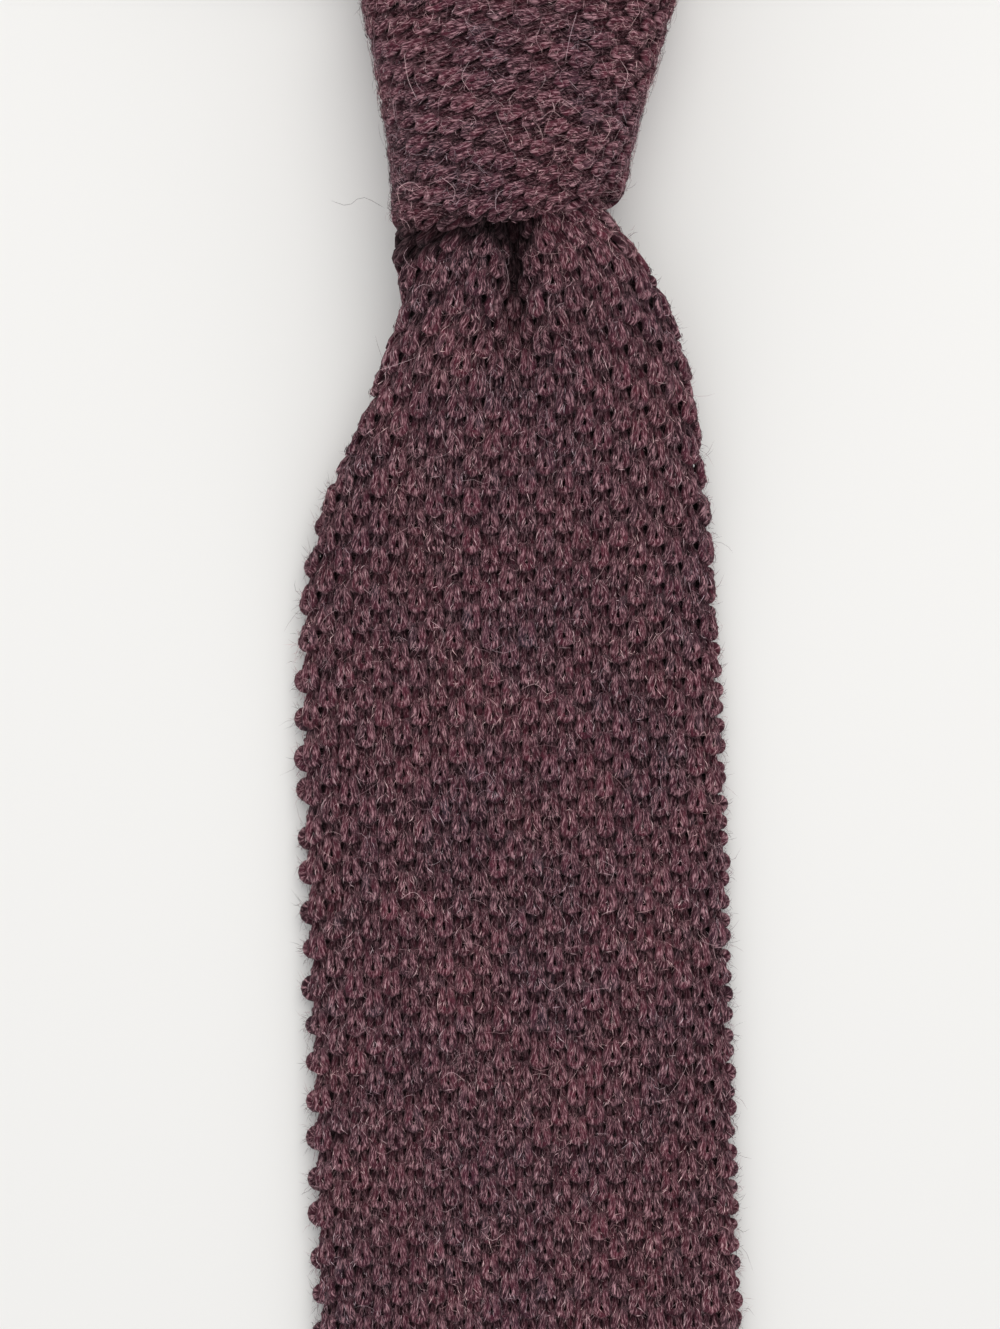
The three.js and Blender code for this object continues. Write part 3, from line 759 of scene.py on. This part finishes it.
def core(name, strip, first, last, columns=28, closed=False):
    """A thin closed sheet through the strip, which the yarn is worked on."""
    rows = max(4, int((last - first) / CORE_STEP))
    along = np.linspace(first, last, rows, endpoint=not closed)
    across = np.linspace(-CORE_EDGE, CORE_EDGE, columns)
    a, b = np.meshgrid(along, across, indexing="ij")
    top, bottom = (
        strip.at(a, b, np.full_like(a, CORE_DEPTH + side * CORE_THICK))[0] for side in (0.5, -0.5)
    )
    size = rows * columns
    grid = np.arange(size).reshape(rows, columns).tolist()
    faces = []

    def wall(line, ahead, flip):
        for a, b in zip(line, ahead):
            quad = (a, b, b + size, a + size)
            faces.append(quad[::-1] if flip else quad)

    for here, ahead in zip(grid, grid[1:] + grid[:1] if closed else grid[1:]):
        for j in range(columns - 1):
            quad = (here[j], here[j + 1], ahead[j + 1], ahead[j])
            faces += [quad, tuple(v + size for v in quad[::-1])]
        wall(here[:1], ahead[:1], False)
        wall(here[-1:], ahead[-1:], True)
    if not closed:
        wall(grid[0], grid[0][1:], True)
        wall(grid[-1], grid[-1][1:], False)
    points = np.vstack([top.reshape(-1, 3), bottom.reshape(-1, 3)])
    flat = np.stack([np.tile(a.ravel(), 2), np.tile(b.ravel() * 0.5 * strip.cloth, 2)], 1)
    # Painted shade: the core's front is painted dark as shade between the stitches, its back lighter
    height = np.repeat([FRONT_SHADE, BACK_SHADE], size)
    place = np.stack([height, 0 * height + 0.5], 1)
    return new_mesh(name, points, faces, {"yarn": flat, "fan": flat, "place": place})


# Single long hairs: the height of each, and the points that it passes
STRAYS = (
    (26, (11.8, 28.2), (10.6, 24.4), (9.9, 21.1)),
    (26.2, (6.6, 25.9), (6.0, 24.2), (6.8, 22.6)),
    (24, (-12.2, 23.8), (-11.7, 19.7), (-10.4, 16.5)),
    (24.5, (-13.9, 5.9), (-11.6, 4.2), (-9.9, 5.0), (-9.2, 3.0)),
    (24.8, (-13.3, 2.4), (-13.5, 4.5), (-11.6, 5.5), (-10.2, 4.4)),
    (25.5, (-9.8, 4.8), (-6.6, 5.8), (-3.6, 4.9), (-2.0, 4.0)),
    (25.6, (-7.7, 6.1), (-5.7, 4.1), (-6.1, 2.5)),
    (25.5, (15.1, 13.4), (15.8, 11.8), (14.6, 10.1), (13.8, 10.7)),
    (16, (-12.3, -2.0), (-13.2, -3.5), (-12.4, -4.9), (-11.3, -5.5)),
    (16, (-10.2, -2.5), (-9.5, -3.9), (-8.4, -4.5)),
    (4, (-23.9, 6.3), (-21.3, 5.4), (-19.3, 6.5), (-16.0, 4.9)),
    (26, (6.2, 13.3), (7.9, 14.4), (9.2, 13.5)),
    (26, (-3.1, 21.8), (-4.3, 19.4), (-3.2, 17.4)),
    (23.5, (17.5, 21.7), (18.5, 19.6), (17.6, 17.3)),
    (17, (0.9, -4.6), (1.3, -7.4), (0.5, -9.6)),
    (18, (8.5, -6.3), (10.7, -5.3), (12.0, -6.7)),
    (12, (19.8, -10.2), (21.5, -11.9), (21.8, -14.5)),
    (17, (8.5, -8.3), (6.8, -10.4), (7.2, -12.9)),
    (9.5, (-6.0, -24.8), (-4.4, -25.9), (-4.7, -28.5)),
    (9, (12.0, -40.9), (14.0, -39.8), (15.1, -41.5)),
    (9, (-11.2, -54.4), (-9.2, -56.2), (-9.9, -58.7)),
    (9, (1.3, -64.7), (3.6, -63.9), (5.3, -65.4), (6.5, -64.6)),
    (9, (14.2, -60.8), (12.7, -63.0), (13.5, -65.3)),
    (9, (-17.8, -40.0), (-16.1, -38.9), (-14.4, -40.4)),
    (9, (-6.1, -77.3), (-3.8, -76.2), (-2.5, -77.9)),
    (9, (12.0, -89.1), (13.9, -90.3), (13.3, -92.6)),
    (9, (-16.6, -94.0), (-14.5, -92.9), (-12.9, -94.7)),
    (9, (3.0, -105.9), (4.6, -107.4), (6.7, -106.3)),
    (9, (-11.6, -119.7), (-9.9, -118.6), (-7.9, -120.1)),
    (9, (13.6, -130.4), (15.4, -129.3), (16.5, -131.3)),
    (9, (-6.5, -141.2), (-4.9, -142.6), (-2.9, -141.5)),
)
STRAY_POINTS, STRAY_RADIUS, STRAY_ARCH = 9, 0.027, 0.5
STRAY_SHADES = 0.88, 1.0
OFF_THE_TIE, OFF_SHADE = -20.0, 0.45  # what starts left of this lies beside the tie


def strays(name):
    paths = []
    for height, *places in STRAYS:
        through = catmull(np.array([(x, y, height) for x, y in places]), 12)
        far = way_along(through)
        even = np.linspace(0, far[-1], STRAY_POINTS)
        path = np.stack([np.interp(even, far, through[:, k]) for k in range(3)], axis=1)
        path[:, 2] += STRAY_ARCH * np.sin(np.linspace(0, math.pi, STRAY_POINTS))
        paths.append(path)
    shade = RNG.uniform(*STRAY_SHADES, len(paths))
    shade[np.array([path[0, 0] < OFF_THE_TIE for path in paths])] = OFF_SHADE
    return slivers(name, np.array(paths), STRAY_RADIUS, shade)


# Materials
class Shades:
    """Short ways to add nodes to a material."""

    def __init__(self, name, finish):
        self.material = bpy.data.materials.new(name)
        self.material.use_nodes = True
        self.nodes, self.links = self.material.node_tree.nodes, self.material.node_tree.links
        self.shader = self.nodes["Principled BSDF"]
        self.filled(self.shader, finish)

    def filled(self, node, inputs, output=0):
        """Gives a node its inputs, values or other nodes' outputs, and returns its output."""
        for key, value in inputs.items():
            if isinstance(value, bpy.types.NodeSocket):
                self.links.new(value, node.inputs[key])
            else:
                node.inputs[key].default_value = value
        return node.outputs[output]

    def map(self, key):
        node = self.nodes.new("ShaderNodeUVMap")
        node.uv_map = key
        return node.outputs[0]

    def mapped(self, vector, scale=(1, 1, 1), turn=0.0):
        node = self.nodes.new("ShaderNodeMapping")
        return self.filled(node, {"Vector": vector, "Scale": scale, "Rotation": (0, 0, turn)})

    def noise(self, vector, scale=1.0, detail=2.0, rough=0.5):
        node = self.nodes.new("ShaderNodeTexNoise")
        return self.filled(node, {"Vector": vector, "Scale": scale, "Detail": detail, "Roughness": rough}, "Fac")

    def part(self, vector, axis):
        return self.filled(self.nodes.new("ShaderNodeSeparateXYZ"), {0: vector}, axis)

    def ramp(self, factor, stops):
        """Colours for a value, each stop a place and a colour or a grey."""
        node = self.nodes.new("ShaderNodeValToRGB")
        elements = node.color_ramp.elements
        for k, (place, colour) in enumerate(stops):
            item = elements[k] if k < 2 else elements.new(place)
            item.position = place
            item.color = (*(colour if isinstance(colour, tuple) else (colour,) * 3), 1)
        return self.filled(node, {0: factor})

    def mixed(self, factor, a, b, mode="MIX"):
        node = self.nodes.new("ShaderNodeMix")
        node.data_type = "RGBA"
        node.blend_type = mode
        a, b = ((*colour, 1) if isinstance(colour, tuple) else colour for colour in (a, b))
        return self.filled(node, {0: factor, 6: a, 7: b}, 2)

    def times(self, a, b):
        return self.mixed(1.0, a, b, "MULTIPLY")

    def math(self, operation, *values):
        node = self.nodes.new("ShaderNodeMath")
        node.operation = operation
        return self.filled(node, dict(enumerate(values)))

    def moss(self, vector, course, wale):
        """The relief of moss stitch on a flat map: domes and hollows by turns both ways."""
        waves = [
            self.math("SINE", self.math("MULTIPLY", self.part(vector, axis), math.pi / pitch))
            for axis, pitch in ((0, course), (1, wale))
        ]
        return self.range(self.math("MULTIPLY", *waves), -1.0, 1.0, 0.0, 1.0)

    def bump(self, height, strength, distance, under=None):
        inputs = {"Height": height, "Strength": strength, "Distance": distance}
        if under is not None:
            inputs["Normal"] = under
        return self.filled(self.nodes.new("ShaderNodeBump"), inputs)

    def range(self, *values):
        """Of a value, the ends of its range, and what they turn into."""
        return self.filled(self.nodes.new("ShaderNodeMapRange"), dict(enumerate(values)))


PLUM = (0.054, 0.016, 0.024)
BURGUNDY = (0.071, 0.015, 0.025)
MAUVE = (0.041, 0.024, 0.032)
DARK_PLUM = (0.029, 0.009, 0.014)
PALE = (0.46, 0.255, 0.282)
DEEP = (0.018, 0.004, 0.007)
YARN_FINISH = {"Roughness": 0.85, "Specular IOR Level": 0.1, "Sheen Weight": 0.08, "Sheen Roughness": 0.5,
               "Sheen Tint": (0.9, 0.66, 0.7, 1)}
FIBRE_FINISH = {"Roughness": 0.55, "Specular IOR Level": 0.35}
TABLE_FINISH = {"Base Color": (0.87, 0.86, 0.835, 1), "Roughness": 0.85, "Specular IOR Level": 0.2}

# Ramps, each of places and the colours or greys there
HEATHER = [(0.36, DARK_PLUM), (0.66, MAUVE), (0.46, PLUM), (0.55, BURGUNDY)]
BROAD = [(0.38, (0.80, 0.84, 0.92)), (0.62, (1.16, 1.08, 1.06))]
OWN = [(0.0, 0.72), (1.0, 1.30)]
PALE_STREAKS = [(0.53, 0.0), (0.68, 0.9)]
DEEP_STREAKS = [(0.34, 0.7), (0.45, 0.0)]
# Painted shade in the moss stitch's hollows, painted highlight on its domes
MOSS_SHADE = [(0.1, 0.22), (0.62, 1.1)]
FIBRES = [(0.0, DEEP), (1.0, (0.80, 0.58, 0.58)), (0.35, (0.042, 0.013, 0.019)), (0.6, (0.098, 0.037, 0.048)),
          (0.84, (0.40, 0.23, 0.25))]

PATCH_SCALE = 95.0
HEATHER_SCALE, STREAK_SCALE, STREAK_DETAIL, STREAK_ROUGH = 0.11, 3.8, 3.0, 0.62
DEEPEST, HIGHEST, PAINTED_HIGHLIGHT = -1.2, 1.2, 1.3  # the heights with the darkest painted shade and the brightest painted highlight, and how bright that highlight is
STREAK_RELIEF, MOSS_RELIEF = (0.8, 0.0004), (1.0, 0.0022)  # strength, and height in metres


def patches(shades, colour):
    """Broad patches over the whole tie, some greyer and darker, some warmer and lighter."""
    place = shades.nodes.new("ShaderNodeTexCoord").outputs["Object"]
    return shades.times(colour, shades.ramp(shades.noise(place, PATCH_SCALE), BROAD))


def yarn_wool(name, light=1.0, darkest=0.2, streaky=0.7, leans=(0.22, -0.22), wale=None):
    """Heathered wool yarn, each stitch of its own shade, painted darker where it lies low and lighter where it
    stands high as painted shade and highlight. With a wale, it shows moss stitch, with painted shade in its
    hollows.
    """
    shades = Shades(name, YARN_FINISH)
    place, fan = shades.map("place"), shades.map("fan")
    run = shades.noise(shades.mapped(shades.map("yarn"), (HEATHER_SCALE, 0.0, 0.0)))
    colour = shades.times(shades.ramp(run, HEATHER), shades.ramp(shades.part(place, 1), OWN))
    colour = patches(shades, colour)
    streaks = [
        shades.noise(shades.mapped(shades.mapped(fan, turn=lean), (STREAK_SCALE, streaky, 1.0)), 1.0,
                     STREAK_DETAIL, STREAK_ROUGH)
        for lean in leans
    ]
    for one in streaks:
        colour = shades.mixed(shades.ramp(one, PALE_STREAKS), colour, PALE)
        colour = shades.mixed(shades.ramp(one, DEEP_STREAKS), colour, DEEP)
    # Painted shade and highlight: the lower the yarn lies the darker it is painted, the higher it stands the
    # lighter
    depth = shades.range(shades.part(place, 0), DEEPEST, HIGHEST, darkest * light, PAINTED_HIGHLIGHT * light)
    grey = shades.filled(shades.nodes.new("ShaderNodeCombineColor"), {k: depth for k in range(3)})
    colour = shades.times(colour, grey)
    relief = shades.bump(shades.mixed(0.5, *streaks, "LIGHTEN"), *STREAK_RELIEF)
    if wale:
        moss = shades.moss(fan, COURSE, wale)
        # Painted shade in the moss stitch's hollows and painted highlight on its domes
        colour = shades.times(colour, shades.ramp(moss, MOSS_SHADE))
        relief = shades.bump(moss, *MOSS_RELIEF, relief)
    shades.filled(shades.shader, {"Base Color": colour, "Normal": relief})
    return shades.material


def loose_wool(name):
    """Single fibres, each of one colour, from dark plum to pinkish white."""
    shades = Shades(name, FIBRE_FINISH)
    colour = shades.ramp(shades.part(shades.map("place"), 1), FIBRES)
    shades.filled(shades.shader, {"Base Color": patches(shades, colour)})
    return shades.material


def dress(obj, material):
    obj.data.materials.clear()
    obj.data.materials.append(material)


YARN_WOOL = yarn_wool("yarn_wool", light=0.94)
KNOT_WOOL = yarn_wool("knot_wool", light=0.96, darkest=0.48, streaky=1.1, leans=(0.85, 0.1))
PLAIN_WOOL = yarn_wool("plain_wool", light=1.22)
CORE_WOOL = yarn_wool("core_wool", light=1.1, wale=2.6)
LOOSE_WOOL = loose_wool("loose_wool")


# The camera looks straight down at the knot and the top of the blade, a little turned
CAMERA_OVER, CAMERA_HEIGHT, CAMERA_ROLL = (-1.4, -61.0), 480.0, math.radians(-1.65)
PIXELS_PER_MM, VIEWED_HEIGHT, PHOTO_WIDTH, SENSOR_MM = 7.0, 6.0, 1000, 36.0


def camera():
    data = bpy.data.cameras.new("camera")
    data.sensor_fit = "HORIZONTAL"
    data.sensor_width = SENSOR_MM
    data.lens = data.sensor_width * PIXELS_PER_MM * (CAMERA_HEIGHT - VIEWED_HEIGHT) / PHOTO_WIDTH
    data.clip_start = 0.01
    obj = linked("camera", data)
    obj.location = ((np.array([*CAMERA_OVER, CAMERA_HEIGHT]) + ZERO) * MM).tolist()
    obj.rotation_euler = (0, 0, CAMERA_ROLL)
    bpy.context.scene.camera = obj


TABLE_REACH = 14.0
SKY, SKY_LIGHT = (0.97, 0.98, 1.0, 1), 0.8
KEY_PLACE, KEY_TARGET = (0.14, 0.62, 0.82), (0.0, 0.12, 0.0)
KEY_SIZE, KEY_POWER, KEY_COLOUR = 0.9, 4.0, (1.0, 0.98, 0.95)


def stage():
    mesh = bpy.data.meshes.new("floor")
    corners = [(x * TABLE_REACH, y * TABLE_REACH, 0) for x, y in ((-1, -1), (1, -1), (1, 1), (-1, 1))]
    mesh.from_pydata(corners, [], [(0, 1, 2, 3)])
    floor = linked("floor", mesh)
    dress(floor, Shades("pale_table", TABLE_FINISH).material)


def lights():
    world = bpy.data.worlds.new("studio")
    world.use_nodes = True
    sky = world.node_tree.nodes["Background"]
    sky.inputs[0].default_value, sky.inputs[1].default_value = SKY, SKY_LIGHT
    bpy.context.scene.world = world
    data = bpy.data.lights.new("key", "AREA")
    data.shape = "DISK"
    data.size, data.energy, data.color = KEY_SIZE, KEY_POWER, KEY_COLOUR
    key = linked("key", data)
    key.location = KEY_PLACE
    x, y, z = np.array(KEY_TARGET) - np.array(KEY_PLACE)
    key.rotation_euler = (math.atan2(math.hypot(x, y), -z), 0, math.atan2(x, -y) + math.pi)
    bpy.context.scene.view_settings.view_transform = "Standard"


# Each knit's wales, the points of each stitch, and the sides of the yarn
NEAR, FAR, CREST, WRAP, BAND, TAIL = (23, 10, 5), (23, 4, 4), (9, 7, 5), (28, 8, 5), (13, 5, 4), (17, 4, 3)
NEAR_COURSES = 59
BLADE_TOP = 4.0
WRAP_PITCH, WRAP_YARN = 2.8, 0.93 * YARN
FAN_LIFT, FAN_FROM, FAN_FADE, FAN_TOP = 0.0062, 8, 20.0, 6


def fan_out(strip):
    """Lifts the ends of the courses towards the knot, where the blade fans out from it."""
    def bend(along, across):
        y = np.interp(along, strip.along, strip.middle[:, 1])
        lift = FAN_LIFT * np.exp(-np.clip(-y - FAN_FROM, 0, None) / FAN_FADE) * smooth((FAN_TOP - y) / FAN_TOP)
        return lift * (across * 0.5 * strip.cloth) ** 2
    return bend


CLIMB, STEEPEST = 0.3, 12


def climb(length):
    """Lets the wales rise to the right over the knot's front, and fall again behind it."""
    def drift(along):
        steepest = 0.5 * length - length / STEEPEST
        return CLIMB * length / (2 * math.pi) * np.sin(2 * math.pi * (along - steepest) / length)
    return drift


MADE = {}


def made(node, piece, material):
    """Dresses a piece and lists it with the strip that it belongs to."""
    dress(piece, material)
    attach(piece, "root")
    MADE.setdefault(node, []).append(piece)
    return piece


def edges(node, name, strip, first, last, left, right, form=(6, 9), down=0, left_short=0.0):
    """The knobs of both selvedges, with fine down on them."""
    for word, side, (pitch, reach, height, radius) in (("left", -1, left), ("right", 1, right)):
        places = selvedge(strip, side, first, last - (left_short if side < 0 else 0), pitch)
        made(node, bights(f"{name}_{word}_edge", *places, reach, height, radius, *form), YARN_WOOL)
        if down:
            made(node, halo(f"{name}_{word}_down", *places, down, reach + radius), LOOSE_WOOL)


# How many fibres, how long they are and their radius
BLADE_COVER, BLADE_FUZZ, DOWN_HAIRS = (22500, 1.25, 0.049), (2200, 2.6, 0.018), 2200
WRAP_COVER, WRAP_FUZZ = (17000, 0.8, 0.042), (2100, 2.6, 0.02)
HEM, LAST, CORE_HEM = 1.2, 0.6, 0.8  # from a strip's ends to its yarn and to its core
LEFT_KNOBS = (2 * COURSE, 1.0, 1.0, 0.72)  # pitch, reach, height and radius
RIGHT_KNOBS = (COURSE, 0.6, 0.62, 0.6)
FAR_KNOBS = (4, 5)  # sides and points
HIDDEN, LEFT_HIDDEN = 3, 34  # from the blade's top to its first knobs


def make_blade():
    blade = blade_strip()
    last = np.interp(BLADE_TOP, blade.middle[:, 1], blade.along)
    seam = last - NEAR_COURSES * COURSE
    near = Knit(blade, NEAR, seam, last, bend=fan_out(blade), folds=True)
    x, y = near.paths[..., 0], near.paths[..., 1]
    # Painted shade: the yarn is painted darker in the dimple's top and where the cloth goes in under the knot's
    # left side, where shade falls
    shaded_to = mix(-5.6, -3.0, smooth((x + 12.0) / 7.0))
    tuck_shade = smooth((y - shaded_to) / 2.4) * smooth((8.0 - x) / 8.0)
    near.sunk = near.sunk * mix(0.5, 1.4, smooth((y + 13.0) / 8.0)) + 5.5 * tuck_shade
    made("front_blade", knit_object("blade_knit", near), YARN_WOOL)
    for k in range(2):
        made("front_blade", cover(f"blade_cover_{k}", near, *BLADE_COVER), LOOSE_WOOL)
    made("front_blade", fuzz("blade_fuzz", near, *BLADE_FUZZ), LOOSE_WOOL)
    made("front_blade", knit_object("blade_knit_far", Knit(blade, FAR, HEM, seam)), PLAIN_WOOL)
    knobs = LEFT_KNOBS, RIGHT_KNOBS
    edges("front_blade", "blade", blade, seam, last - HIDDEN, *knobs, down=DOWN_HAIRS, left_short=LEFT_HIDDEN)
    edges("front_blade", "blade_far", blade, 2, seam, *knobs, FAR_KNOBS)
    return blade, made("front_blade", core("blade_core", blade, CORE_HEM, blade.along[-1] - 1), CORE_WOOL)


def make_wrap():
    wrap = wrap_strip()
    length = wrap.along[-1]
    courses = 2 * round(length / WRAP_PITCH / 2)
    knit = Knit(wrap, WRAP, 0, length, pitch=length / courses, lean=0.37, wobble=0.2, drift=climb(length),
                closed=True, raised=0.67, back_head=0.92)
    # Painted shade: the yarn is painted darker where the foot rolls under at the left and faces down, out of the
    # light
    shaded = smooth((-knit.normals[..., 1] - 0.3) / 0.45) * smooth((4.0 - knit.paths[..., 0]) / 8.0)
    knit.sunk = knit.sunk + 4.5 * shaded
    made("knot_wrap", knit_object("wrap_knit", knit, WRAP_YARN), KNOT_WOOL)
    made("knot_wrap", cover("wrap_cover", knit, *WRAP_COVER, slant=0.5, jitter=0.8, lowest=-1.2), LOOSE_WOOL)
    made("knot_wrap", strays("stray_hairs"), LOOSE_WOOL)
    made("knot_wrap", fuzz("wrap_fuzz", knit, *WRAP_FUZZ, stand=0.3), LOOSE_WOOL)
    return wrap, made("knot_wrap", core("wrap_core", wrap, 0, length, closed=True), CORE_WOOL)


def make_plain(node, name, strip, form, columns, first=HEM, left=LAST, margin=CORE_HEM, wool=PLAIN_WOOL):
    """A length of strip with no loose fibres. Returns its core."""
    last = strip.along[-1]
    made(node, knit_object(f"{name}_knit", Knit(strip, form, first, last - left)), wool)
    return made(node, core(f"{name}_core", strip, margin, last - margin, columns), CORE_WOOL)


def make_tie():
    blade, blade_core = make_blade()
    crest = crest_strip()
    crest_core = make_plain("crest", "crest", crest, CREST, 12, crest.along[-1] * 0.25, 0, 0.5, YARN_WOOL)
    wrap, wrap_core = make_wrap()
    band = band_strip()
    band_core = make_plain("neck_band", "band", band, BAND, 16)
    tail = tail_strip()
    tail_core = make_plain("tail", "tail", tail, TAIL, 20)

    laid = [
        (blade_core, "front_blade", (BLADE_WIDTH, blade.along[-1]), "laid", "tail_core"),
        (crest_core, None, (crest.cloth, crest.along[-1]), "folded", "wrap_core"),
        (wrap_core, "knot_wrap", (wrap.cloth, wrap.along[-1]), "folded", "crest_core"),
        (band_core, "neck_band", (NECK_WIDTH, NECK_LENGTH), "folded", "wrap_core"),
        (tail_core, "tail", (TAIL_WIDTH, tail.along[-1]), "laid", "wrap_core"),
    ]
    for base, node, (width, length), held, under in laid:
        if node:
            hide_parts(node)
    dress(bpy.data.objects["knot_turn"], CORE_WOOL)


camera()
stage()
lights()
make_tie()
